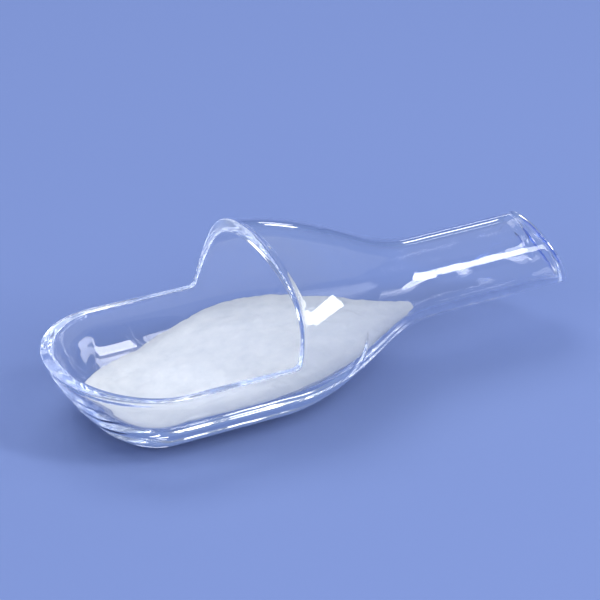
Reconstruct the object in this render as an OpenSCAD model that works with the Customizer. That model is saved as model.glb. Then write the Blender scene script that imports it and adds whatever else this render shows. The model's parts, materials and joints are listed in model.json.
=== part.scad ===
// Weighing boat of clear glass, holding a dry powder.
// The boat is blown from one tube: a flat-bottomed scoop with a round nose, a hood that
// starts at a fire-polished arch, a shoulder, and a tubular neck with an oblique spout.
// +X runs from the nose to the spout, +Z is up, and the boat stands on z = 0.

/* [Scoop] */
// Outside width of the body
body_w = 30.6; // [24:0.2:38]
// Straight length of the scoop, from the foot of the arch to the nose
scoop_l = 16.2; // [8:0.2:30]
// Length of the rounded nose, ahead of the straight length
nose_l = 12.6; // [9:0.2:16]
// Fullness of the nose below the rim: 2 is round, less is raked like a bow
nose_fullness = 1.3; // [1.1:0.05:2]
// Height of the rim above the table
rim_h = 10.8; // [8:0.2:14]
// Width of the flat that the boat stands on
base_w = 8.2; // [4:0.2:12]

/* [Hood] */
// Height of the arch above the rim, outside
arch_h = 14.6; // [11:0.2:18]
// How far the arch bows back between its feet and its crown
arch_bow = 1.2; // [0:0.1:2]
// Inside radius of the corner where the rim turns up into the arch
foot_r = 0.6; // [0.4:0.1:2]
// Length of the shoulder, from the arch to the neck
shoulder_l = 31.5; // [24:0.5:45]

/* [Neck] */
// Outside diameter of the neck
neck_d = 11.5; // [9:0.1:14]
// Wall of the neck
neck_wall = 1.1; // [0.8:0.1:1.6]
// Length of the neck along its axis, from the shoulder to the cut
neck_l = 15.8; // [10:0.2:30]
// Height of the neck's axis above the rim
neck_rise = 1.1; // [0:0.1:3]
// Angle of the spout's cut from square, longer below
spout_angle = 30; // [0:1:45]
// Swell of the fire-polished lip beyond the neck's wall
lip_swell = 0.1; // [0.05:0.01:0.3]

/* [Glass] */
// Thickness of the side walls
wall = 1.2; // [0.9:0.1:1.5]
// Thickness of the base
base_t = 2.2; // [1.2:0.1:3]
// Thickness of the mouth's polished edge along the rim
rim_d = 1.4; // [1.2:0.1:2]
// Thickness of that edge at the arch's crown, where more glass has drawn together
crown_d = 1.9; // [1.4:0.1:2.4]
// How full the edge is in section: 1 is round, less is flatter
edge_fullness = 0.45; // [0.3:0.05:1]

/* [Powder] */
// Depth of the powder under the hood
powder_h = 6; // [3:0.1:6.5]
// How far behind the arch the powder's top levels off
level_x = 8; // [2:0.5:14]
// How much lower the powder's far end lies, in the shoulder
tail_drop = 1.3; // [0:0.1:2]
// Depth of the powder at the nose
toe_h = 1.8; // [1:0.1:3]
// Height of the low heap in the middle of the powder
heap_h = 0.9; // [0.2:0.1:1.5]
// Gap between the powder and the glass
powder_gap = 0.05; // [0.02:0.01:0.2]

/* [Hidden] */
$fn = 96;

// How many steps each stretch of the mouth's edge is drawn with
ARCH_STEPS = 12;      // each side of the arch, foot to crown
CORNER_STEPS = 9;     // each corner at the arch's feet
NOSE_STEPS = 22;      // round the nose
WALL_STEPS = 11;      // from the edge of the mouth down to the base
BEAD_STEPS = 8;       // across the mouth's polished edge
CLOSING_STEPS = 6;    // under the hood, from the mouth's rings to the first full one
SHOULDER_STEPS = 11;  // along the shoulder
FLOOR_STEPS = 3;      // across the flat base
LIP_STEPS = 60;       // along the spout's lip
ROUND_STEPS = 12;     // round the section of the spout's lip
TOP_X_STEPS = 16;     // along the powder's top
TOP_Y_STEPS = 8;      // and across it

neck_r = neck_d / 2;
bore_r = neck_r - neck_wall;
neck_z = rim_h + neck_rise;
corner_r = foot_r + edge_fullness * rim_d / 2;
spout_x = shoulder_l + neck_l;
spout_reach = neck_r * tan(spout_angle);
lip_r = neck_wall / 2 / cos(spout_angle) + lip_swell;
lip_tip = (neck_r + bore_r) / 2 * tan(spout_angle) + lip_r;
hood_back = 12;       // how far behind the arch the mouth's rings reach
outer_tuck = 0.05;    // the loft's end lies this far inside the neck's outside
inner_tuck = 0.4;     // and this far inside its bore
neck_root = 0.09 * shoulder_l;   // the neck's tube starts this far inside the shoulder
bore_root = 0.25 * shoulder_l;   // and its bore this far, where the inside is still wider
nose_flat = base_w / 2;
flat_end = 0.3;       // the flat's half width where it dies out in the neck
x_nose = -scoop_l - nose_l - (rim_d - wall) / 2;
x_centre = (x_nose + spout_x + lip_tip) / 2;

function mix(a, b, t) = a + (b - a) * t;
function smooth(t) = let (u = max(0, min(1, t))) u * u * (3 - 2 * u);

// A skin is [inset at the sides, lift at the base, radius at the neck]
function skin(side, base, neck) = [side, base, neck];
function outer_skin() = skin(0, 0, neck_r - outer_tuck);
function inner_skin(gap = 0) = skin(wall + gap, base_t + gap, bore_r - inner_tuck - gap);

// The body's section at x: everything runs in one S-curve from the arch to the neck
function blend(x) = smooth(x / shoulder_l);
function half_w(s, x) = mix(body_w / 2 - s[0], s[2], blend(x));
function crown_z(s, x) = mix(rim_h + arch_h - s[0], neck_z + s[2], blend(x));
function keel_z(s, x) = mix(s[1], neck_z - s[2], blend(x));
function waist_z(x) = mix(rim_h, neck_z, blend(x));
function flat_w(x) = mix(base_w / 2, flat_end, blend(x));

// A point of the section at angle q, from -90 at the base's edge to 90 at the crown
function section(s, x, q, side) =
    let (z0 = waist_z(x), w = half_w(s, x), b = flat_w(x))
    q >= 0
        ? [x, side * w * cos(q), z0 + (crown_z(s, x) - z0) * sin(q)]
        : [x, side * (b + (w - b) * cos(q)), z0 + (z0 - keel_z(s, x)) * sin(q)];

// The section's half width at height z
function width_at(s, x, z) =
    let (z0 = waist_z(x), w = half_w(s, x), b = flat_w(x))
    z > z0
        ? w * sqrt(max(0, 1 - pow((z - z0) / (crown_z(s, x) - z0), 2)))
        : b + (w - b) * sqrt(max(0, 1 - pow((z0 - z) / (z0 - keel_z(s, x)), 2)));

// The nose at angle p round its centre, 0 on the far side, and depth g from rim to base
function nose(s, p, g) =
    let (m = mix(2, nose_fullness, pow(sin(p), 2)), f = pow(1 - pow(g, m), 1 / m))
    [-scoop_l - mix(nose_flat, nose_l - s[0], f) * sin(p),
     mix(nose_flat, body_w / 2 - s[0], f) * cos(p),
     mix(rim_h, s[1], g)];

// How far a point at height z of the arch lies back of the arch's feet
function bow(z, t) = z <= rim_h ? 0 : (1 - t) * arch_bow * sin(180 * min(1, (z - rim_h) / arch_h));

// Ring t of the mouth: 0 is its edge, 1 runs along the base's flat and over the hood
function ring_depth(t) = sin(90 * t);
function ring_back(t) = hood_back * t;
function corner_point(s, t, b, side) =
    let (z = rim_h + corner_r - (corner_r + ring_depth(t) * (rim_h - s[1])) * cos(b),
         x = -corner_r + (corner_r + ring_back(t)) * sin(b) + bow(z, t))
    [x, side * width_at(s, x, z), z];
function foot_q(s, x) = asin(min(1, (rim_h + corner_r - waist_z(x)) / (crown_z(s, x) - waist_z(x))));
function arch_point(s, t, i, side) =
    let (x = ring_back(t), q = mix(90, foot_q(s, x), i / ARCH_STEPS), P = section(s, x, q, side))
    P + [bow(P.z, t), 0, 0];
function mouth_ring(s, t) = [
    for (i = [0 : ARCH_STEPS - 1]) arch_point(s, t, i, -1),
    for (i = [CORNER_STEPS : -1 : 0]) corner_point(s, t, 90 * i / CORNER_STEPS, -1),
    for (i = [NOSE_STEPS : -1 : 0]) nose(s, 180 * i / NOSE_STEPS, ring_depth(t)),
    for (i = [0 : CORNER_STEPS]) corner_point(s, t, 90 * i / CORNER_STEPS, 1),
    for (i = [ARCH_STEPS - 1 : -1 : 1]) arch_point(s, t, i, 1)
];

// A full ring of the shoulder at x, in the order of the mouth's rings, with the flat base
function lower_q(s, x, i) = mix(-90, foot_q(s, x), i / CORNER_STEPS);
function shoulder_ring(s, x) = [
    for (i = [0 : ARCH_STEPS - 1]) section(s, x, mix(90, foot_q(s, x), i / ARCH_STEPS), -1),
    for (i = [CORNER_STEPS : -1 : 0]) section(s, x, lower_q(s, x, i), -1),
    for (i = [1 : FLOOR_STEPS - 1]) [x, mix(-1, 1, i / FLOOR_STEPS) * flat_w(x), keel_z(s, x)],
    for (i = [0 : CORNER_STEPS]) section(s, x, lower_q(s, x, i), 1),
    for (i = [ARCH_STEPS - 1 : -1 : 1]) section(s, x, mix(90, foot_q(s, x), i / ARCH_STEPS), 1)
];
function shoulder_x(i) = mix(hood_back, shoulder_l, i / SHOULDER_STEPS);

// A ring at share u of the way from the lowest mouth ring to the shoulder's first full ring
function section_q(s, x, z) = let (z0 = waist_z(x))
    z >= z0 ? asin((z - z0) / (crown_z(s, x) - z0)) : -asin(min(1, (z0 - z) / (z0 - keel_z(s, x))));
function closing_point(s, u, i, side) =
    let (c = corner_point(s, 1, 90 * i / CORNER_STEPS, side), x1 = shoulder_x(1))
    section(s, mix(c.x, x1, u), mix(section_q(s, c.x, c.z), lower_q(s, x1, i), u), side);
function closing_ring(s, u) =
    let (top_x = mix(hood_back, shoulder_x(1), u), low_x = mix(-corner_r, shoulder_x(1), u)) [
    for (i = [0 : ARCH_STEPS - 1]) section(s, top_x, mix(90, foot_q(s, top_x), i / ARCH_STEPS), -1),
    for (i = [CORNER_STEPS : -1 : 0]) closing_point(s, u, i, -1),
    for (i = [1 : FLOOR_STEPS - 1]) [low_x, mix(-1, 1, i / FLOOR_STEPS) * flat_w(low_x), keel_z(s, low_x)],
    for (i = [0 : CORNER_STEPS]) closing_point(s, u, i, 1),
    for (i = [ARCH_STEPS - 1 : -1 : 1]) section(s, top_x, mix(90, foot_q(s, top_x), i / ARCH_STEPS), 1)
];

// The polished edge: a soft swelling on the middle of the wall, eased into both skins
EDGE = [[0.95, 0.08], [0.45, 0.76]];  // distance behind the edge's centre, share of its swell
function edge_r(z) = mix(rim_d, crown_d, smooth((z - rim_h) / arch_h)) / 2;
function unit(v) = v / norm(v);
function middle(o, n) = (o + n) / 2;
// The frame at point j of the wall's middle line: the point, the way out, the way into the wall
function edge_frame(m, j, into) =
    let (c = len(m), along = unit(m[(j + 1) % c] - m[(j + c - 1) % c]), out = unit(cross(along, into)))
    [m[j], out, cross(out, along)];
function eased(f, half, e, side) = let (r = edge_r(f[0].z))
    f[0] + r * e[0] * f[2] + side * mix(half, r, e[1]) * f[1];
function rounded(f, r, a, fullness = 1) = f[0] + r * (cos(a) * f[1] - fullness * sin(a) * f[2]);
function edge_rows(outer, inner) =
    let (o = mouth_ring(outer, 0), n = mouth_ring(inner, 0), m = middle(o, n),
         m1 = middle(mouth_ring(outer, 1 / WALL_STEPS), mouth_ring(inner, 1 / WALL_STEPS)),
         all = [0 : len(m) - 1],
         frames = [for (j = all) edge_frame(m, j, m1[j] - m[j])],
         half = [for (j = all) (o[j] - n[j]) * frames[j][1] / 2])
    concat(
        [for (e = EDGE) [for (j = all) eased(frames[j], half[j], e, 1)]],
        [for (i = [0 : BEAD_STEPS])
            [for (f = frames) rounded(f, edge_r(f[0].z), 180 * i / BEAD_STEPS, edge_fullness)]],
        [for (e = [EDGE[1], EDGE[0]]) [for (j = all) eased(frames[j], half[j], e, -1)]]);

// Index lists of the rows, and the faces between two rows of the same length
MOUTH_N = 2 * ARCH_STEPS + 2 * CORNER_STEPS + NOSE_STEPS + 2;
SHOULDER_N = 2 * ARCH_STEPS + 2 * CORNER_STEPS + FLOOR_STEPS;
NEAR_FOOT = ARCH_STEPS + CORNER_STEPS;           // the near corner's lowest point in a mouth ring
FAR_FOOT = NEAR_FOOT + NOSE_STEPS + 2;     // and the far corner's
function row(first, n) = [for (j = [0 : n - 1]) first + j];
function band(a, b) = let (n = len(a)) [for (j = [0 : n - 1]) each [
    [a[j], b[j], b[(j + 1) % n]], [a[j], b[(j + 1) % n], a[(j + 1) % n]]]];
function flatten(rows) = [for (r = rows) each r];
function flip(faces) = [for (f = faces) [for (i = [len(f) - 1 : -1 : 0]) f[i]]];

// The lowest mouth ring as the shoulder sees it: the nose left out, points across the flat
function flat_points(s) = [for (i = [1 : FLOOR_STEPS - 1])
    [-corner_r, mix(-1, 1, i / FLOOR_STEPS) * base_w / 2, s[1]]];
function closing_row(ring, flat) = concat(
    row(ring, NEAR_FOOT + 1), row(flat, FLOOR_STEPS - 1), row(ring + FAR_FOOT, MOUTH_N - FAR_FOOT));
function floor_face(ring, flat) = let (tip = NEAR_FOOT + 1 + ceil(NOSE_STEPS / 2)) concat(
    [for (j = [tip : -1 : NEAR_FOOT]) ring + j], row(flat, FLOOR_STEPS - 1),
    [for (j = [FAR_FOOT : -1 : tip + 1]) ring + j]);

// Rings of one skin below the edge of the mouth, and from there along the shoulder
function mouth_rings(s) = [for (k = [1 : WALL_STEPS]) mouth_ring(s, k / WALL_STEPS)];
function shoulder_rings(s) = concat(
    [for (k = [1 : CLOSING_STEPS - 1]) closing_ring(s, k / CLOSING_STEPS)],
    [for (i = [1 : SHOULDER_STEPS]) shoulder_ring(s, shoulder_x(i))]);
BACK_RINGS = CLOSING_STEPS - 1 + SHOULDER_STEPS;
function skin_points(s) = concat(flatten(mouth_rings(s)), flat_points(s), flatten(shoulder_rings(s)));
SKIN_FLAT = WALL_STEPS * MOUTH_N;             // where a skin's flat points start, from its first point
SKIN_SHOULDER = SKIN_FLAT + FLOOR_STEPS - 1;   // and its shoulder rings
SKIN_N = SKIN_SHOULDER + BACK_RINGS * SHOULDER_N;
function skin_faces(first) =
    let (low = first + (WALL_STEPS - 1) * MOUTH_N, flat = first + SKIN_FLAT, back = first + SKIN_SHOULDER)
    concat(
        [for (k = [0 : WALL_STEPS - 2]) each band(row(first + k * MOUTH_N, MOUTH_N),
                                             row(first + (k + 1) * MOUTH_N, MOUTH_N))],
        [floor_face(low, flat)],
        band(closing_row(low, flat), row(back, SHOULDER_N)),
        [for (i = [0 : BACK_RINGS - 2]) each band(row(back + i * SHOULDER_N, SHOULDER_N),
                                                row(back + (i + 1) * SHOULDER_N, SHOULDER_N))]);
function skin_end(first) = row(first + SKIN_N - SHOULDER_N, SHOULDER_N);

// The blown wall: both skins, joined by the polished edge in front and by a ring at the neck
module blown_body() {
    edge = edge_rows(outer_skin(), inner_skin());
    first = len(edge) * MOUTH_N;
    points = concat(flatten(edge), skin_points(outer_skin()), skin_points(inner_skin()));
    polyhedron(points, concat(
        [for (k = [0 : len(edge) - 2]) each band(row((k + 1) * MOUTH_N, MOUTH_N), row(k * MOUTH_N, MOUTH_N))],
        band(row(0, MOUTH_N), row(first, MOUTH_N)),
        skin_faces(first),
        flip(band(row((len(edge) - 1) * MOUTH_N, MOUTH_N), row(first + SKIN_N, MOUTH_N))),
        flip(skin_faces(first + SKIN_N)),
        band(skin_end(first), skin_end(first + SKIN_N))));
}

// The cut that gives the neck its spout, longer below
module spout_cut() {
    translate([spout_x, 0, neck_z]) rotate([0, -spout_angle, 0])
        translate([0, -neck_d, -3 * neck_d]) cube([6 * neck_d, 2 * neck_d, 6 * neck_d]);
}

// The spout's lip: a round bead along the cut, from the bore to the outside
function cut_ring(r) = [for (i = [0 : LIP_STEPS - 1]) let (a = 360 * i / LIP_STEPS)
    [spout_x - r * cos(a) * tan(spout_angle), r * sin(a), neck_z + r * cos(a)]];
module spout_lip() {
    m = middle(cut_ring(neck_r), cut_ring(bore_r));
    into = [-cos(spout_angle), 0, -sin(spout_angle)];
    points = [for (j = [0 : LIP_STEPS - 1]) let (f = edge_frame(m, j, into))
        for (i = [0 : ROUND_STEPS - 1]) rounded(f, lip_r, 360 * i / ROUND_STEPS)];
    polyhedron(points, [for (j = [0 : LIP_STEPS - 1])
        each band(row(j * ROUND_STEPS, ROUND_STEPS), row((j + 1) % LIP_STEPS * ROUND_STEPS, ROUND_STEPS))]);
}

module glass_boat() color([0.78, 0.87, 0.95, 0.5]) translate([-x_centre, 0, 0]) {
    difference() {
        union() {
            blown_body();
            difference() {
                translate([shoulder_l - neck_root, 0, neck_z]) rotate([0, 90, 0])
                    cylinder(r = neck_r, h = neck_root + neck_l + spout_reach + 1);
                spout_cut();
            }
        }
        translate([shoulder_l - bore_root, 0, neck_z]) rotate([0, 90, 0])
            cylinder(r = bore_r, h = bore_root + neck_l + spout_reach + 2);
    }
    spout_lip();
}

// The space inside the glass, closed over the mouth by a fan to one point above it
module inside() {
    s = inner_skin(powder_gap);
    apex = SKIN_N + MOUTH_N;
    points = concat(skin_points(s), mouth_ring(s, 0), [[-corner_r, 0, rim_h + corner_r]]);
    mouth = row(SKIN_N, MOUTH_N);
    polyhedron(points, concat(
        [for (j = [0 : MOUTH_N - 1]) [mouth[j], mouth[(j + 1) % MOUTH_N], apex]],
        band(mouth, row(0, MOUTH_N)),
        skin_faces(0),
        [[for (i = [SHOULDER_N - 1 : -1 : 0]) skin_end(0)[i]]]));
}

// The heap's top: rising from the toe at the nose, level under the hood, low in the middle
function powder_top(x, y) =
    let (toe_x = -scoop_l - nose_flat,
         rise = smooth((x - toe_x) / (level_x - toe_x)),
         fall = smooth((x - level_x) / (shoulder_l - level_x)))
    base_t + mix(toe_h, powder_h, rise) - tail_drop * fall
        + heap_h * cos(180 * y / body_w) * sin(90 * rise) * (1 - fall);
function top_x(i) = mix(-scoop_l - nose_l, shoulder_l, i / TOP_X_STEPS);
function top_y(j) = mix(-body_w / 2, body_w / 2, j / TOP_Y_STEPS);
module heap() {
    ny = TOP_Y_STEPS + 1;
    n = (TOP_X_STEPS + 1) * ny;
    points = [for (i = [0 : TOP_X_STEPS], j = [0 : TOP_Y_STEPS])
        [top_x(i), top_y(j), powder_top(top_x(i), top_y(j))]];
    under = [for (i = [0, TOP_X_STEPS], j = [0, TOP_Y_STEPS]) [top_x(i), top_y(j), 0]];
    polyhedron(concat(points, under), concat(
        [for (i = [0 : TOP_X_STEPS - 1], j = [0 : TOP_Y_STEPS - 1]) let (k = i * ny + j)
            each [[k, k + 1, k + ny + 1], [k, k + ny + 1, k + ny]]],
        [[n, n + 2, n + 3, n + 1],
         concat([n, n + 1], [for (j = [TOP_Y_STEPS : -1 : 0]) j]),
         concat([n + 3, n + 2], [for (j = [0 : TOP_Y_STEPS]) TOP_X_STEPS * ny + j]),
         concat([n + 2, n], [for (i = [0 : TOP_X_STEPS]) i * ny]),
         concat([n + 1, n + 3], [for (i = [TOP_X_STEPS : -1 : 0]) i * ny + TOP_Y_STEPS])]));
}
module powder() color([0.93, 0.95, 0.97]) translate([-x_centre, 0, 0]) intersection() {
    inside();
    heap();
}

glass_boat();
powder();
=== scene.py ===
# %% [markdown]
# # A glass weighing boat with powder in it
# A weighing boat carries a weighed portion of powder from the balance to a flask. This one is
# blown from one glass tube: a scoop with a flat base and a round nose, a hood that starts at an
# arch, a shoulder, and a neck that goes into the flask's mouth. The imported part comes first,
# because every place below is read from it.

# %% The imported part
import json
import math

import bmesh
import bpy
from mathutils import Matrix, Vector, noise


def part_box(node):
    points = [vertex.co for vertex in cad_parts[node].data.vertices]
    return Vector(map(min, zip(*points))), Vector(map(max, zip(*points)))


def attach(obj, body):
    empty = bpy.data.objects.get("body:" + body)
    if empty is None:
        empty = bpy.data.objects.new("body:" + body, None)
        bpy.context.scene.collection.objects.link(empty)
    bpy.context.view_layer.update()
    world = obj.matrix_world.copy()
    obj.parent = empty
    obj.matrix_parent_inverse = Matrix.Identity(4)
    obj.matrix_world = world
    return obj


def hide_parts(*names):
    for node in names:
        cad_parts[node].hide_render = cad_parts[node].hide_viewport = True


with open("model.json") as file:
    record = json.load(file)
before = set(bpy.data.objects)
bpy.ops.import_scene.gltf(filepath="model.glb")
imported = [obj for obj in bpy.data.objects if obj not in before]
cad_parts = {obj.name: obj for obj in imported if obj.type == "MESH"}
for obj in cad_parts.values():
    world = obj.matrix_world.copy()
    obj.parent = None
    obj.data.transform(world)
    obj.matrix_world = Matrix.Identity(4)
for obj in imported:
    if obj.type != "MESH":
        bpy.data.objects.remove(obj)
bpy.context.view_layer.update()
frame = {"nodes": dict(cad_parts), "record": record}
MM = 0.001
print("nodes:", ", ".join(sorted(frame["nodes"])))

# %% [markdown]
# The frame gives what can be measured from outside: the box of the glass, and the neck and its
# bore, which are mounts with a radius and a height. What a box can't tell, such as how thick the
# wall is or how full the nose is, are sizes of the glass itself and are set here by name.
# Lengths along the boat are counted from the arch's foot, because both halves start there.

# %% Sizes of the glass
glass_low, glass_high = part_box("glass_boat")
mounts = {mount["name"]: mount for mount in frame["record"]["mounts"]}
neck_r = mounts["neck"]["dims"]["r_mm"] * MM
bore_r = mounts["neck_bore"]["dims"]["r_mm"] * MM
neck_z = mounts["neck"]["pos_m"][2]

wall = 1.2 * MM                  # the side walls
base_t = 2.2 * MM                # the base, where the glass gathers
rim_r = 0.7 * MM                 # half the thickness of the mouth's polished edge along the rim
nose_r = 0.9 * MM                # round the nose, which was held in the flame longer
crown_r = 0.95 * MM              # and at the arch's crown, where the glass drew together most
edge_fullness = 0.45             # 1 is a round edge, less is flatter
edge_squareness = 1.9            # 1 is an oval edge, more is a flat one with round corners
nose_tip = 0.26 * MM             # how far that edge swells past the nose
rim_z = 10.8 * MM                # the rim's middle line
foot_r = 0.6 * MM                # the tight inside corner where the rim turns up
arch_bow = 1.2 * MM              # how far the arch leans back between foot and crown
base_w = 8.2 * MM                # the flat that it stands on
nose_l = 12.4 * MM
scoop_l = 16.2 * MM
shoulder_l = 31.5 * MM
nose_fullness = 1.3              # 2 is round, less is raked like a bow
spout_tilt = math.radians(30)    # the cut at the neck's end, longer below
lip_opening = 0.4 * MM           # how much the bore's radius grows towards the lip
lip_swell = 0.02 * MM            # how much the flame thickened the lip

half_w = glass_high.y - rim_r + wall / 2
arch_h = glass_high.z - crown_r + wall / 2 - rim_z
foot_x = glass_low.x + nose_tip + nose_l + scoop_l
corner_r = foot_r + edge_fullness * rim_r
lip_bore_r = bore_r + lip_opening
lip_r = (neck_r - lip_bore_r) / 2 / math.cos(spout_tilt) + lip_swell
spout_x = glass_high.x - lip_r - (neck_r + lip_bore_r) / 2 * math.tan(spout_tilt) - foot_x
print(f"body {2 * half_w / MM:.1f} mm wide, neck {2 * neck_r / MM:.1f} mm, "
      f"cut {spout_x / MM:.1f} mm behind the arch")

# %% [markdown]
# Blown glass has no corners. Every change of width or height runs in one S-curve, so one easing
# function shapes the whole body. A wall has two faces, an outer and an inner skin, which follow
# the same rules with different numbers: the inner one lies a wall's thickness inside, starts
# higher at the base, and ends in the bore.

# %% One skin of the wall
flat_end = 0.3 * MM              # half of the flat's width where it dies out at the neck


def mix(a, b, share):
    return a + (b - a) * share


def ease(t):
    t = min(1, max(0, t))
    return t * t * (3 - 2 * t)


class Skin:
    """A face of the wall: how far inside the outer one, how high above the table, and its tube."""

    def __init__(self, inset, lift, tube_r):
        self.inset, self.lift, self.tube_r = inset, lift, tube_r

    def span(self, x):
        """Half width, crown, keel, waist and half flat of the body's section at x."""
        s = ease(x / shoulder_l)
        return (mix(half_w - self.inset, self.tube_r, s),
                mix(rim_z + arch_h - self.inset, neck_z + self.tube_r, s),
                mix(self.lift, neck_z - self.tube_r, s),
                mix(rim_z, neck_z, s),
                mix(base_w / 2, flat_end, s))

    def point(self, x, angle, side):
        """A point of the section at an angle from -90 degrees, the base, to 90, the crown."""
        width, crown, keel, waist, flat = self.span(x)
        if angle >= 0:
            y, z = width * math.cos(angle), (crown - waist) * math.sin(angle)
        else:
            y, z = flat + (width - flat) * math.cos(angle), (waist - keel) * math.sin(angle)
        rounding = mix(1, self.tube_r / math.hypot(y, z), ease(x / shoulder_l) ** 4)
        return Vector((x, side * y * rounding, waist + z * rounding))

    def width_at(self, x, z):
        """Half the section's width at height z."""
        width, crown, keel, waist, flat = self.span(x)
        if z > waist:
            return width * math.sqrt(max(0, 1 - ((z - waist) / (crown - waist)) ** 2))
        return flat + (width - flat) * math.sqrt(max(0, 1 - ((waist - z) / (waist - keel)) ** 2))

    def nose(self, angle, depth):
        """A point of the nose at an angle round it and a depth from 0, the rim, to 1, the base."""
        fullness = mix(2, nose_fullness, math.sin(angle) ** 2)
        reach = max(0, 1 - depth ** fullness) ** (1 / fullness)
        length = mix(base_w / 2, nose_l - self.inset, reach)
        width = mix(base_w / 2, half_w - self.inset, reach)
        height = mix(rim_z, self.lift, depth)
        return Vector((-scoop_l - length * math.sin(angle), width * math.cos(angle), height))

    def foot_angle(self, x):
        """The angle in the section at which the corner at the arch's foot begins."""
        width, crown, keel, waist, flat = self.span(x)
        return math.asin(min(1, (rim_z + corner_r - waist) / (crown - waist)))


quarter = math.pi / 2
outer_skin = Skin(0, 0, neck_r)
inner_skin = Skin(wall, base_t, bore_r)
print(f"section 15 mm back: {2 * outer_skin.span(15 * MM)[0] / MM:.1f} mm wide")

# %% [markdown]
# The mouth's edge isn't flat: it runs up one side of the arch, over and down the other, round a
# tight corner and along the rim round the nose. Rings drawn parallel to that edge, further and
# further from it, cover the scoop and the hood together, so the tight corners come out smooth
# with no patches.

# %% Rings of the mouth
ARCH = 60                        # steps up each side of the arch
CORNER = 14                      # round the corner at each foot
STRAIGHT = 14                    # along each straight side of the scoop
NOSE = 120                       # round the nose
NEAR_FOOT = ARCH + CORNER                            # where the near corner is lowest in a ring
FAR_FOOT = NEAR_FOOT + 2 * STRAIGHT + NOSE           # and where the far one is
RING = FAR_FOOT + CORNER + ARCH                      # points in a ring
hood_back = 12 * MM              # how far behind the arch the lowest ring reaches


def bow(z, t):
    """How far ring t leans back at height z, because the arch is bowed between foot and crown."""
    if z <= rim_z:
        return 0
    return (1 - t) * arch_bow * math.sin(math.pi * min(1, (z - rim_z) / arch_h))


def mouth_ring(skin, t):
    """Ring t of the mouth, from 0 at its edge to 1 along the base and over the hood."""
    depth, back = math.sin(quarter * t), hood_back * t
    level = mix(rim_z, skin.lift, depth)

    def arch(i, side):
        spot = skin.point(back, mix(quarter, skin.foot_angle(back), i / ARCH), side)
        return spot + Vector((bow(spot.z, t), 0, 0))

    def corner(i, side):
        turn = quarter * i / CORNER
        z = rim_z + corner_r - (corner_r + depth * (rim_z - skin.lift)) * math.cos(turn)
        x = -corner_r + (corner_r + back) * math.sin(turn) + bow(z, t)
        return Vector((x, side * skin.width_at(x, z), z))

    def straight(i, side):
        x = mix(-corner_r, -scoop_l, i / STRAIGHT)
        return Vector((x, side * skin.width_at(x, level), level))

    ring = [arch(i, -1) for i in range(ARCH)]
    ring += [corner(i, -1) for i in range(CORNER, -1, -1)]
    ring += [straight(i, -1) for i in range(1, STRAIGHT)]
    ring += [skin.nose(math.pi * i / NOSE, depth) for i in range(NOSE, -1, -1)]
    ring += [straight(i, 1) for i in range(STRAIGHT - 1, 0, -1)]
    ring += [corner(i, 1) for i in range(CORNER + 1)]
    ring += [arch(i, 1) for i in range(ARCH - 1, 0, -1)]
    return ring


print("points in a mouth ring:", RING)

# %% [markdown]
# Past the hood the rings run all the way round, as hoops round a barrel. The lowest ring of the
# mouth leans far back, and the hoops stand upright, so a few leaning hoops lie between them. Each
# has its corner's points somewhere between where the mouth left them and where a hoop has them.

# %% Hoops of the shoulder
BASE = 10                        # steps across the flat base
first_full = 14 * MM             # where the hoops stand upright


def full_ring(skin, x, lean=None):
    """A hoop of the body at x. With a list of (x, angle) for the corner's points, a leaning one."""
    upright = [(x, mix(-quarter, skin.foot_angle(x), i / CORNER)) for i in range(CORNER + 1)]
    corner = lean or upright
    low_x, top_x = corner[0][0], corner[-1][0]
    flat = skin.span(low_x)[-1]
    arch_angles = [mix(quarter, skin.foot_angle(top_x), i / ARCH) for i in range(ARCH)]

    def half(side):
        arch = [skin.point(top_x, angle, side) for angle in arch_angles]
        return arch + [skin.point(at, angle, side) for at, angle in corner[::-1]]

    near, far = half(-1), half(1)
    across = [Vector((low_x, mix(-flat, flat, i / BASE), near[-1].z)) for i in range(1, BASE)]
    return near + across + far[:0:-1]


def closing_ring(skin, share):
    """A hoop that leans, on the way from the lowest mouth ring to the first upright one."""
    lean = []
    for i, spot in enumerate(mouth_ring(skin, 1)[FAR_FOOT:FAR_FOOT + CORNER + 1]):
        width, crown, keel, waist, flat = skin.span(spot.x)
        rise = (spot.z - waist) / (crown - waist if spot.z > waist else waist - keel)
        angle = math.asin(min(1, max(-1, rise)))
        goal = mix(-quarter, skin.foot_angle(first_full), i / CORNER)
        lean.append((mix(spot.x, first_full, share), mix(angle, goal, share)))
    return full_ring(skin, first_full, lean)


print("points in a hoop:", len(full_ring(outer_skin, first_full)))

# %% [markdown]
# In Blender a loft grows from one loop. Extruding the loop's edges makes the next loop and the
# faces between them, and the new corners are then moved to their places. The helper below does
# that, keeps the order of the points, and gives back the new loop, so that the next call can go
# on from there. The lowest ring of the mouth closes under the scoop: a row of edges crosses the
# base there, one face fills the flat in front of it, and the loop goes on across the base.

# %% Growing a mesh loop by loop
MOUTH_RINGS = 22                 # from the mouth's edge to its lowest ring
HOOD_RINGS = 10                  # leaning hoops
SHOULDER_RINGS = 26              # upright hoops
base_margin = 0.3 * MM           # a narrow row of faces that keeps the flat's edge crisp


def loop_edges(bm, loop):
    return [bm.edges.get((a, b)) for a, b in zip(loop, loop[1:] + loop[:1])]


def grow(bm, loop, ring):
    """Extrudes a closed loop of vertices on to the points of ring, and returns the new loop."""
    made = bmesh.ops.extrude_edge_only(bm, edges=loop_edges(bm, loop))["geom"]
    fresh = {item for item in made if isinstance(item, bmesh.types.BMVert)}
    grown = []
    for old, place in zip(loop, ring):
        twin = next(e.other_vert(old) for e in old.link_edges if e.other_vert(old) in fresh)
        twin.co = place
        grown.append(twin)
    return grown


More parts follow.
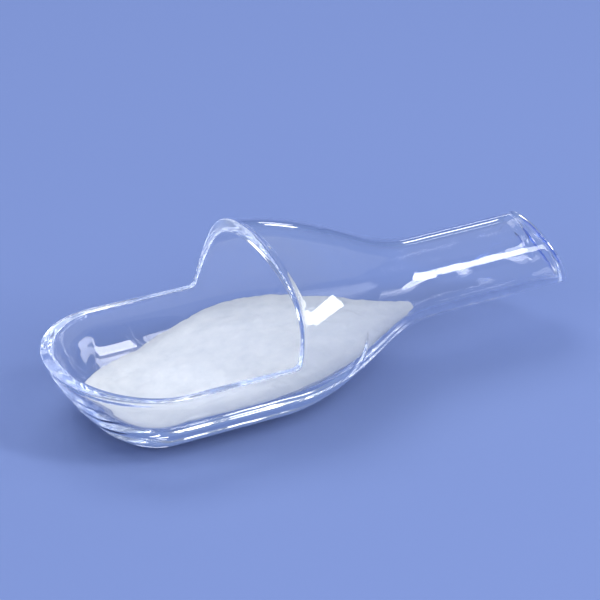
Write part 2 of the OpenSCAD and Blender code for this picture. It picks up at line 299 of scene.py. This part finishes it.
def grow_to_neck(bm, loop, skin, mouth_shares):
    """Takes a loop at the mouth's edge down over the scoop and hood, and back to the neck."""
    for share in mouth_shares:
        loop = grow(bm, loop, mouth_ring(skin, share))
    near, far = loop[NEAR_FOOT], loop[FAR_FOOT]
    across = [near]
    for i in range(1, BASE):
        across += bmesh.ops.extrude_vert_indiv(bm, verts=across[-1:])["verts"]
        across[-1].co = near.co.lerp(far.co, i / BASE)
    bm.edges.new((across[-1], far))
    across = across[1:]
    nose_side = loop[NEAR_FOOT:FAR_FOOT + 1] + across[::-1]
    base = bmesh.ops.edgeloop_fill(bm, edges=loop_edges(bm, nose_side))["faces"]
    loop = loop[:NEAR_FOOT + 1] + across + loop[FAR_FOOT:]
    for k in range(1, HOOD_RINGS):
        loop = grow(bm, loop, closing_ring(skin, k / HOOD_RINGS))
    for k in range(SHOULDER_RINGS + 1):
        loop = grow(bm, loop, full_ring(skin, mix(first_full, shoulder_l, k / SHOULDER_RINGS)))
    bmesh.ops.inset_region(bm, faces=base, thickness=base_margin, use_even_offset=True)
    return loop


print("rings on each skin:", MOUTH_RINGS + HOOD_RINGS + SHOULDER_RINGS)

# %% [markdown]
# Held in a flame, the cut edge of the mouth melts and draws itself together. It stays nearly
# flat on top, with round corners. It is thicker than the wall along the rim, thicker still round
# the nose and at the arch's crown, and only as thick as the wall at the arch's feet. A frame at
# each point of the edge says which way is across the wall and which way is into it. One set of
# frames follows the wall, which leans, and the other the cut itself, which is square.

# %% Frames along the mouth's edge
FIRST_SHARE = 0.1                # the mouth's first ring behind the edge


def edge_frames(middle, ways_in):
    """For each point of an edge: its place, the way across the wall and the way into it."""
    frames = []
    for j, (place, way_in) in enumerate(zip(middle, ways_in)):
        along = middle[(j + 1) % len(middle)] - middle[j - 1]
        out = along.cross(way_in).normalized()
        frames.append((place, out, out.cross(along).normalized()))
    return frames


def edge_radius(spot):
    """Half the edge's thickness: the wall's own at the arch's feet, and more away from them."""
    if spot.x > 0:
        return mix(wall / 2, crown_r, ease((spot.z - rim_z) / arch_h) ** 2)
    along_rim = mix(wall / 2, rim_r, ease(-spot.x / scoop_l))
    return mix(along_rim, nose_r, ease(-(spot.x + scoop_l) / nose_l))


edge_out, edge_in = mouth_ring(outer_skin, 0), mouth_ring(inner_skin, 0)
below_out, below_in = mouth_ring(outer_skin, FIRST_SHARE), mouth_ring(inner_skin, FIRST_SHARE)
edge_middle = [(a + b) / 2 for a, b in zip(edge_out, edge_in)]
ways_in = [(a + b) / 2 - m for a, b, m in zip(below_out, below_in, edge_middle)]
wall_frames = edge_frames(edge_middle, ways_in)
turns = [quarter * i / CORNER for i in range(CORNER + 1)]
foot_cut = [Vector((math.sin(turn), 0, -math.cos(turn))) for turn in turns]
arch_cut, rim_cut = [foot_cut[-1]] * ARCH, [foot_cut[0]] * (2 * STRAIGHT + NOSE - 1)
square_ways = arch_cut + foot_cut[::-1] + rim_cut + foot_cut + arch_cut[1:]
cut_frames = edge_frames(edge_middle, square_ways)
edge_radii = [edge_radius(spot) for spot in edge_middle]
half_walls = [(a - b).dot(f[1]) / 2 for a, b, f in zip(edge_out, edge_in, wall_frames)]
print(f"edge {2 * min(edge_radii) / MM:.1f} to {2 * max(edge_radii) / MM:.1f} mm thick")

# %% [markdown]
# The loft starts on the crest of that edge. A row round it is the same angle of an arc in every
# frame: a quarter turn goes down to the outer skin and one to the inner. Then a few rows ease
# from the square cut to the leaning wall, and from the edge's thickness to the wall's.

# %% Rows round the edge
EDGE_STEPS = 9                   # in each quarter turn
SWELL_END = 0.85                 # the edge is plain wall this many of its radii behind the cut
EASED = [SWELL_END * k / 5 for k in range(1, 6)] + [1.0]


def arc(frames, radii, angle, fullness=1, squareness=1):
    """A row round an edge. Fullness is how far it swells, and squareness flattens its top."""
    across = math.copysign(abs(math.cos(angle)) ** (1 / squareness), math.cos(angle))
    up = fullness * abs(math.sin(angle)) ** (1 / squareness)
    return [place + r * (across * out - up * inward)
            for (place, out, inward), r in zip(frames, radii)]


def mouth_arc(angle):
    return arc(cut_frames, edge_radii, angle, edge_fullness, edge_squareness)


def eased(away, side):
    """A row behind the mouth's edge, between the width of the cut and half the wall."""
    swell = ease(1 - away / SWELL_END)
    spots = zip(wall_frames, cut_frames, edge_radii, half_walls)
    return [place + away * r * inward + side * (half * out).lerp(r * flat, swell)
            for (place, out, inward), (_, flat, _), r, half in spots]


print("rows between the crest and the wall:", EDGE_STEPS + len(EASED))

# %% [markdown]
# The spout is the neck's end, cut at a slant so that it is longer below, and its lip is polished
# too. The cut is an oval in a tilted plane, and the lip a half turn round it. Just before it the
# bore opens a little, so the lip is thinner than the neck's wall.

# %% The lip of the spout
NECK_RINGS = 6                   # along the straight bore
LIP_STEPS = 8                    # where the bore opens, and in each quarter turn of the lip
OPENS_AT = 0.8                   # the share of the neck's length where the bore begins to open
lip_reach = 1.2 * lip_r          # how far behind the cut the lip begins
neck_hoop = full_ring(outer_skin, shoulder_l)
neck_shares = [OPENS_AT * k / NECK_RINGS for k in range(1, NECK_RINGS + 1)]
neck_shares += [mix(OPENS_AT, 1, k / LIP_STEPS) for k in range(1, LIP_STEPS + 1)]


def cut_ring(radius, behind=0):
    """The slanting cut through a tube of this radius, or a ring a little way behind it."""
    ring = []
    for spot in neck_hoop:
        turn = math.atan2(spot.z - neck_z, spot.y)
        up = radius * math.sin(turn)
        x = spout_x - up * math.tan(spout_tilt) - behind
        ring.append(Vector((x, radius * math.cos(turn), neck_z + up)))
    return ring


def neck_ring(hoop, plain_end, opened_end, share):
    """A ring at a share of the neck, on straight lines that part only where the bore opens."""
    opening = ease((share - OPENS_AT) / (1 - OPENS_AT))
    ends = zip(hoop, plain_end, opened_end)
    return [start.lerp(plain, share) + opening * (opened - plain) for start, plain, opened in ends]


lip_middle = cut_ring((neck_r + lip_bore_r) / 2)
into_the_neck = Vector((-math.cos(spout_tilt), 0, -math.sin(spout_tilt)))
lip_frames = edge_frames(lip_middle, [into_the_neck] * len(lip_middle))
lip_radii = [lip_r] * len(lip_middle)
print(f"lip {2 * lip_r / MM:.2f} mm thick")

# %% [markdown]
# Now the glass is blown. Both skins grow from the crest of the mouth's edge, over the wall and
# along the neck, and each goes round its half of the lip, where they meet. Merging the doubles
# there closes the shell, and only then are its normals recalculated. The helper that makes an
# object of a mesh prints its volume, which would be negative if the faces pointed inwards. It
# also sorts the mesh, because operators leave new vertices in an order that changes from run to
# run, and a later merge or Boolean could then round a hair differently.

# %% Blowing the glass
weld = 0.002 * MM                # vertices closer than this are one


def blow_glass():
    bm = bmesh.new()
    crest = bmesh.ops.create_circle(bm, segments=RING, radius=half_w)["verts"]
    for vertex, place in zip(crest, mouth_arc(quarter)):
        vertex.co = place
    mouth_shares = [mix(FIRST_SHARE, 1, k / MOUTH_RINGS) for k in range(MOUTH_RINGS + 1)]
    for skin, side, opened_r in ((outer_skin, 1, neck_r), (inner_skin, -1, lip_bore_r)):
        loop = crest
        for k in range(1, EDGE_STEPS + 1):
            loop = grow(bm, loop, mouth_arc(quarter * (1 - side * k / EDGE_STEPS)))
        for away in EASED:
            loop = grow(bm, loop, eased(away, side))
        loop = grow_to_neck(bm, loop, skin, mouth_shares)
        hoop = [vertex.co.copy() for vertex in loop]
        plain_end, opened_end = cut_ring(skin.tube_r, lip_reach), cut_ring(opened_r, lip_reach)
        for share in neck_shares:
            loop = grow(bm, loop, neck_ring(hoop, plain_end, opened_end, share))
        for k in range(LIP_STEPS + 1):
            turn = quarter * (1 - side * (1 - k / LIP_STEPS))
            loop = grow(bm, loop, arc(lip_frames, lip_radii, turn))
    bmesh.ops.remove_doubles(bm, verts=bm.verts, dist=weld)
    bmesh.ops.translate(bm, verts=bm.verts, vec=(foot_x, 0, 0))
    bmesh.ops.recalc_face_normals(bm, faces=bm.faces)
    return bm


def put_in_order(bm):
    """Sorts a mesh by how far each element lies along a slanting line, so hardly two are equal."""
    slant = Vector((1, 1.7, 2.9))
    bm.verts.sort(key=lambda vertex: vertex.co.dot(slant))
    bm.edges.sort(key=lambda edge: (edge.verts[0].co + edge.verts[1].co).dot(slant))
    bm.faces.sort(key=lambda face: face.calc_center_median().dot(slant))


def finished(bm, name, smooth_below=180):
    """Turns a bmesh into an object whose faces shade smoothly across edges below an angle."""
    put_in_order(bm)
    open_edges = sum(1 for edge in bm.edges if not edge.is_manifold)
    volume = 0 if open_edges else bm.calc_volume(signed=True) / MM ** 3
    print(f"{name}: {len(bm.faces)} faces, {open_edges} open edges, {volume:.0f} mm3")
    mesh = bpy.data.meshes.new(name)
    bm.to_mesh(mesh)
    bm.free()
    mesh.shade_smooth()
    mesh.set_sharp_from_angle(angle=math.radians(smooth_below))
    piece = bpy.data.objects.new(name, mesh)
    bpy.context.scene.collection.objects.link(piece)
    return piece


blown_glass = finished(blow_glass(), "blown_glass")

# %% [markdown]
# A powder fills the glass from below and ends in a loose heap that never lies quite even. Its
# underside is simply the inside of the glass. So the same rings make a solid a hair smaller than
# that inside: they grow from the mouth's edge to the neck, where one face closes them, and a cone
# with its point above the scoop closes the mouth.

# %% The inside of the glass
powder_gap = 0.05 * MM           # grains touch the glass only here and there, with air between


def cavity():
    """The inside of the glass as a closed solid, a hair smaller, with a point above the mouth."""
    bm = bmesh.new()
    skin = Skin(wall + powder_gap, base_t + powder_gap, bore_r - powder_gap)
    edge = bmesh.ops.create_circle(bm, segments=RING, radius=half_w)["verts"]
    for vertex, place in zip(edge, mouth_ring(skin, 0)):
        vertex.co = place
    end = grow_to_neck(bm, edge, skin, [k / MOUTH_RINGS for k in range(1, MOUTH_RINGS + 1)])
    bmesh.ops.edgeloop_fill(bm, edges=loop_edges(bm, end))
    above = Vector((-corner_r, 0, rim_z + corner_r))
    lid = grow(bm, edge, [above] * RING)
    bmesh.ops.pointmerge(bm, verts=lid, merge_co=above)
    bmesh.ops.recalc_face_normals(bm, faces=bm.faces)
    return finished(bm, "cavity")


inside_of_glass = cavity()

# %% [markdown]
# The top of the powder is a fine grid. It rises from the nose to a level stretch under the arch
# and falls towards the neck, with a low heap along the middle, and noise in two sizes makes clods
# and crumbs of it. Its border is drawn down to the table, which makes a block of it.

# %% The heap
powder_h = 6 * MM                # depth under the hood
toe_h = 1.8 * MM                 # depth at the nose
level_x = 8 * MM                 # where the top levels off
tail_drop = 1.3 * MM             # how much lower the far end lies
heap_h = 0.9 * MM                # height of the low heap in the middle
clod_mm, crumb_mm = 0.28, 0.05   # how high clods and crumbs stand out
clods_per_mm, crumbs_per_mm = 0.22, 1.3
grid_cell = 0.28 * MM


def powder_top(x, y):
    toe_x = -scoop_l - base_w / 2
    rise = ease((x - toe_x) / (level_x - toe_x))
    fall = ease((x - level_x) / (shoulder_l - level_x))
    heap = heap_h * math.cos(math.pi * y / (2 * half_w)) * math.sin(quarter * rise) * (1 - fall)
    spot = Vector((x, y, 0)) / MM
    clods = noise.fractal(spot * clods_per_mm, 1.0, 2.0, 4) * clod_mm * MM
    crumbs = noise.fractal(spot * crumbs_per_mm + Vector((0, 0, 7)), 0.8, 2.0, 3) * crumb_mm * MM
    return base_t + mix(toe_h, powder_h, rise) - tail_drop * fall + heap + clods + crumbs


def heap_block():
    bm = bmesh.new()
    length, width = scoop_l + nose_l + shoulder_l, 2 * half_w
    cells_long, cells_wide = int(length / grid_cell), int(width / grid_cell)
    bmesh.ops.create_grid(bm, x_segments=cells_long, y_segments=cells_wide, size=0.5)
    bmesh.ops.scale(bm, verts=bm.verts, vec=(length, width, 1))
    bmesh.ops.translate(bm, verts=bm.verts, vec=((shoulder_l - scoop_l - nose_l) / 2, 0, 0))
    for vertex in bm.verts:
        vertex.co.z = powder_top(vertex.co.x, vertex.co.y)
    border = [edge for edge in bm.edges if edge.is_boundary]
    for item in bmesh.ops.extrude_edge_only(bm, edges=border)["geom"]:
        if isinstance(item, bmesh.types.BMVert):
            item.co.z = 0
    bmesh.ops.holes_fill(bm, edges=[edge for edge in bm.edges if edge.is_boundary], sides=0)
    bmesh.ops.recalc_face_normals(bm, faces=bm.faces)
    return finished(bm, "heap")


block = heap_block()

# %% [markdown]
# The powder is what lies both in the glass and in that block. A Boolean modifier finds it, and
# its result is read from the evaluated object. Where the two meshes crossed there are slivers.
# Merging what is closer than a hair, cutting all faces into triangles and dissolving what has no
# width leaves a clean closed mesh.

# %% Filling in the powder
sliver = 0.01 * MM               # anything thinner comes from the cut, not from the powder


def common_part(piece, tool):
    """What lies in both objects, as a new bmesh. Both sources go."""
    boolean = piece.modifiers.new("common", "BOOLEAN")
    boolean.operation, boolean.solver, boolean.object = "INTERSECT", "EXACT", tool
    settled = piece.evaluated_get(bpy.context.evaluated_depsgraph_get())
    bm = bmesh.new()
    bm.from_mesh(settled.to_mesh())
    settled.to_mesh_clear()
    put_in_order(bm)
    for spent in (piece, tool):
        bpy.data.objects.remove(spent)
    return bm


loose = common_part(inside_of_glass, block)
bmesh.ops.remove_doubles(loose, verts=loose.verts, dist=sliver)
bmesh.ops.triangulate(loose, faces=loose.faces)
bmesh.ops.dissolve_degenerate(loose, dist=sliver / 2, edges=loose.edges)
bmesh.ops.triangulate(loose, faces=loose.faces)
bmesh.ops.translate(loose, verts=loose.verts, vec=(foot_x, 0, 0))
loose_powder = finished(loose, "loose_powder", smooth_below=40)

# %% [markdown]
# Shader maths reads best as plain expressions. The class below holds one output of a node, and
# writing a + b or 2 * a with it adds the Math node that does the sum. Every other node comes from
# one method of Finish, which sets its settings first and then its sockets.

# %% Writing materials as expressions
class Signal:
    def __init__(self, finish, socket):
        self.finish, self.socket = finish, socket

    def maths(self, operation, a, b):
        return self.finish.node("ShaderNodeMath", {"operation": operation}, {0: a, 1: b})

    def __add__(self, other): return self.maths("ADD", self, other)
    def __radd__(self, other): return self.maths("ADD", other, self)
    def __mul__(self, other): return self.maths("MULTIPLY", self, other)
    def __rmul__(self, other): return self.maths("MULTIPLY", other, self)


class Finish:
    def __init__(self, owner, output="ShaderNodeOutputMaterial"):
        self.owner = owner
        owner.use_nodes = True
        self.tree = owner.node_tree
        self.tree.nodes.clear()
        self.end = self.tree.nodes.new(output)

    def node(self, kind, settings=None, sockets=None, output=0):
        made = self.tree.nodes.new(kind)
        for name, value in (settings or {}).items():
            if name == "stops":
                ramp = made.color_ramp.elements
                ramp[0].position, ramp[0].color = value[0]
                ramp[1].position, ramp[1].color = value[-1]
                for place, colour in value[1:-1]:
                    ramp.new(place).color = colour
            else:
                setattr(made, name, value)
        for name, value in (sockets or {}).items():
            if isinstance(value, Signal):
                self.tree.links.new(value.socket, made.inputs[name])
            else:
                made.inputs[name].default_value = value
        return Signal(self, made.outputs[output])

    def noise(self, scale, detail=2, roughness=0.5):
        place = self.node("ShaderNodeTexCoord", output="Object")
        return self.node("ShaderNodeTexNoise", {}, {"Vector": place, "Scale": scale, "Detail": detail,
                                                    "Roughness": roughness}, output="Fac")

    def blend(self, share, a, b):
        """A colour between a and b. A Mix node has a set of sockets for each kind of value."""
        share_at, a_at, b_at, colour_out = 0, 6, 7, 2
        sockets = {share_at: share, a_at: a, b_at: b}
        return self.node("ShaderNodeMix", {"data_type": "RGBA"}, sockets, colour_out)

    def bump(self, height, distance, strength=1):
        return self.node("ShaderNodeBump", {}, {"Height": height, "Distance": distance, "Strength": strength})

    def ends_in(self, surface, volume=None):
        """Joins the last shader, and for glass one for its inside, to the tree's output."""
        self.tree.links.new(surface.socket, self.end.inputs["Surface"])
        if volume:
            self.tree.links.new(volume.socket, self.end.inputs["Volume"])
        return self.owner


print("materials are written with", Signal.__name__, "and", Finish.__name__)

# %% [markdown]
# Clear glass is hardly a colour at all: it is what it bends and mirrors. Borosilicate bends light
# by 1.47, is perfectly smooth where the flame has touched it, and keeps a very slight waviness
# from blowing, which a soft bump gives. Light that runs a long way inside it, as it does in the
# base and round the edges, comes out faintly blue. That is no surface colour, so it is left to
# Volume Absorption, which works with the distance.

# %% The glass finish
def glass_finish():
    finish = Finish(bpy.data.materials.new("borosilicate"))
    waves = finish.noise(90, detail=1)
    normal = finish.bump(waves, 0.12 * MM, 0.08)
    clear = finish.node("ShaderNodeBsdfPrincipled", {}, {
        "Base Color": (0.985, 0.992, 1.0, 1), "Roughness": 0.0, "IOR": 1.47,
        "Transmission Weight": 1.0, "Normal": normal})
    depth = finish.node("ShaderNodeVolumeAbsorption", {}, {"Color": (0.50, 0.68, 1.0, 1), "Density": 4.0})
    return finish.ends_in(clear, depth)


blown_glass.data.materials.append(glass_finish())
print("the glass is", blown_glass.active_material.name)

# %% [markdown]
# A dry powder is matt and nearly white. The noise that raises its small clumps also paints it a
# shade cooler and darker in their hollows, a painted shade. Its clods are in the mesh already, so
# the bump adds only what is finer: small clumps, and the grain itself.

# %% The powder finish
def powder_finish():
    finish = Finish(bpy.data.materials.new("dry_powder"))
    lumps_and_hollow_shade = finish.noise(420, detail=4, roughness=0.6)
    grain = finish.noise(3800, detail=3, roughness=0.7)
    # painted shade: the colour turns cooler and darker where the noise, and so the bump, is low
    colour = finish.blend(lumps_and_hollow_shade, (0.66, 0.70, 0.74, 1), (0.88, 0.89, 0.89, 1))
    normal = finish.bump(0.6 * grain + 0.8 * lumps_and_hollow_shade, 0.12 * MM, 0.6)
    matt = finish.node("ShaderNodeBsdfPrincipled", {}, {
        "Base Color": colour, "Roughness": 0.95, "IOR": 1.3, "Normal": normal})
    return finish.ends_in(matt)


loose_powder.data.materials.append(powder_finish())
print("the powder is", loose_powder.active_material.name)

# %% [markdown]
# The boat stands on a plain floor of pale blue. It is wide enough to fill the lower half of
# whatever the glass bends or mirrors.

# %% The floor
floor_size = 3.0                 # its border stays out of sight
floor_drop = 0.03 * MM           # keeps the two flat faces from lying in one plane


def floor_finish():
    finish = Finish(bpy.data.materials.new("pale_floor"))
    cloud = finish.noise(6, detail=2)
    colour = finish.blend(cloud, (0.182, 0.254, 0.51, 1), (0.190, 0.263, 0.525, 1))
    paper = finish.node("ShaderNodeBsdfPrincipled", {}, {"Base Color": colour, "Roughness": 0.85})
    return finish.ends_in(paper)


sheet = bmesh.new()
bmesh.ops.create_grid(sheet, x_segments=1, y_segments=1, size=floor_size)
bmesh.ops.translate(sheet, verts=sheet.verts, vec=(0, 0, -floor_drop))
floor = finished(sheet, "floor")
floor.data.materials.append(floor_finish())

# %% [markdown]
# The upper half of what the glass shows is the room: blue paper all round, lighter above the
# horizon, with a dim grey ceiling that lets the white lines stand out. Light that enters the edge
# of the glass runs along inside it and is mirrored many times before it gets out. With the usual
# few bounces it would end as black, so many more are allowed.

# %% The room
LOW = (0.19, 0.28, 0.63, 1)
HIGH = (0.29, 0.41, 0.79, 1)
CEILING = (0.34, 0.38, 0.47, 1)
BOUNCES = 128


def soft_room():
    room = Finish(bpy.data.worlds.new("soft_room"), "ShaderNodeOutputWorld")
    way = room.node("ShaderNodeTexCoord", output="Generated")
    up = room.node("ShaderNodeSeparateXYZ", {}, {"Vector": way}, output="Z")
    stops = [(0.0, LOW), (0.5, HIGH), (0.72, CEILING)]
    colour = room.node("ShaderNodeValToRGB", {"stops": stops}, {"Fac": up})
    return room.ends_in(room.node("ShaderNodeBackground", {}, {"Color": colour, "Strength": 0.84}))


bpy.context.scene.world = soft_room()
cycles = bpy.context.scene.cycles
cycles.max_bounces = cycles.transmission_bounces = cycles.glossy_bounces = BOUNCES
bpy.context.scene.view_settings.view_transform = "Standard"
print("bounces:", cycles.max_bounces)

# %% [markdown]
# On clear glass every lamp is seen as a patch or a line, so each softbox has a task. The wide one
# overhead lights the powder and the far rim. The long panel on the left runs along the edge of
# the mouth. The window on the right is the patch on the shoulder, and the narrow oval beside it,
# the glint, is the stripe along the neck. The higher oval is the bright spot inside the nose. A
# dim box above the front lifts the near side, and a small strip low behind draws the line along
# the top of the hood and the neck. All are hidden from the camera and big enough for soft shadows.

# %% Softboxes
aim = Vector((-3.91, -2.27, 14.09)) * MM             # the point that the lights and camera face


def softbox(name, direction, distance, size, power, shape="RECTANGLE"):
    light = bpy.data.lights.new(name, "AREA")
    light.shape, light.size, light.size_y = shape, size[0], size[1]
    light.energy = power
    lamp = bpy.data.objects.new(name, light)
    way = Vector(direction).normalized()
    lamp.location = aim + way * distance
    lamp.rotation_euler = way.to_track_quat("Z", "Y").to_euler()
    lamp.visible_camera = False
    bpy.context.scene.collection.objects.link(lamp)


softbox("overhead", (0.05, 0.50, 0.86), 0.8, (0.6, 0.45), 2.3)
softbox("left_panel", (-0.74, -0.46, 0.49), 0.9, (1.9, 0.46), 4.8)
softbox("window", (0.76, -0.57, 0.31), 0.8, (0.40, 0.19), 2.1)
softbox("top_front", (0.22, -0.50, 0.84), 0.8, (0.40, 0.2), 0.8)
softbox("glint", (0.5175, -0.762, 0.388), 0.8, (0.11, 0.22), 0.72, "ELLIPSE")
softbox("lamp", (0.42, -0.60, 0.68), 0.8, (0.13, 0.30), 1.5, "ELLIPSE")
softbox("back_strip", (0.575, 0.853, 0.179), 0.82, (0.09, 0.04), 0.035)
print("softboxes:", len(bpy.data.lights))

# %% [markdown]
# The camera stands some 40 cm away and looks a little down, across the scoop towards the neck.
# Its long lens keeps the near and far side of the rim almost parallel.

# %% The camera
turn, tilt, camera_distance = math.radians(-30.1), math.radians(25.6), 394.2 * MM
back = Vector((math.sin(turn) * math.cos(tilt), -math.cos(turn) * math.cos(tilt), math.sin(tilt)))
camera = bpy.data.objects.new("camera", bpy.data.cameras.new("camera"))
camera.data.lens, camera.data.sensor_width = 174.1, 36
camera.data.clip_start, camera.data.clip_end = 0.01, 20
camera.location = aim + camera_distance * back
camera.rotation_euler = back.to_track_quat("Z", "Y").to_euler()
bpy.context.scene.collection.objects.link(camera)
bpy.context.scene.camera = camera
print("camera", round(camera_distance, 3), "m away")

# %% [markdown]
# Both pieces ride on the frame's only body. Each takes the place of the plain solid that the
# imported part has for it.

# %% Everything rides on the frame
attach(blown_glass, "root")
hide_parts("glass_boat")
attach(loose_powder, "root")
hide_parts("powder")
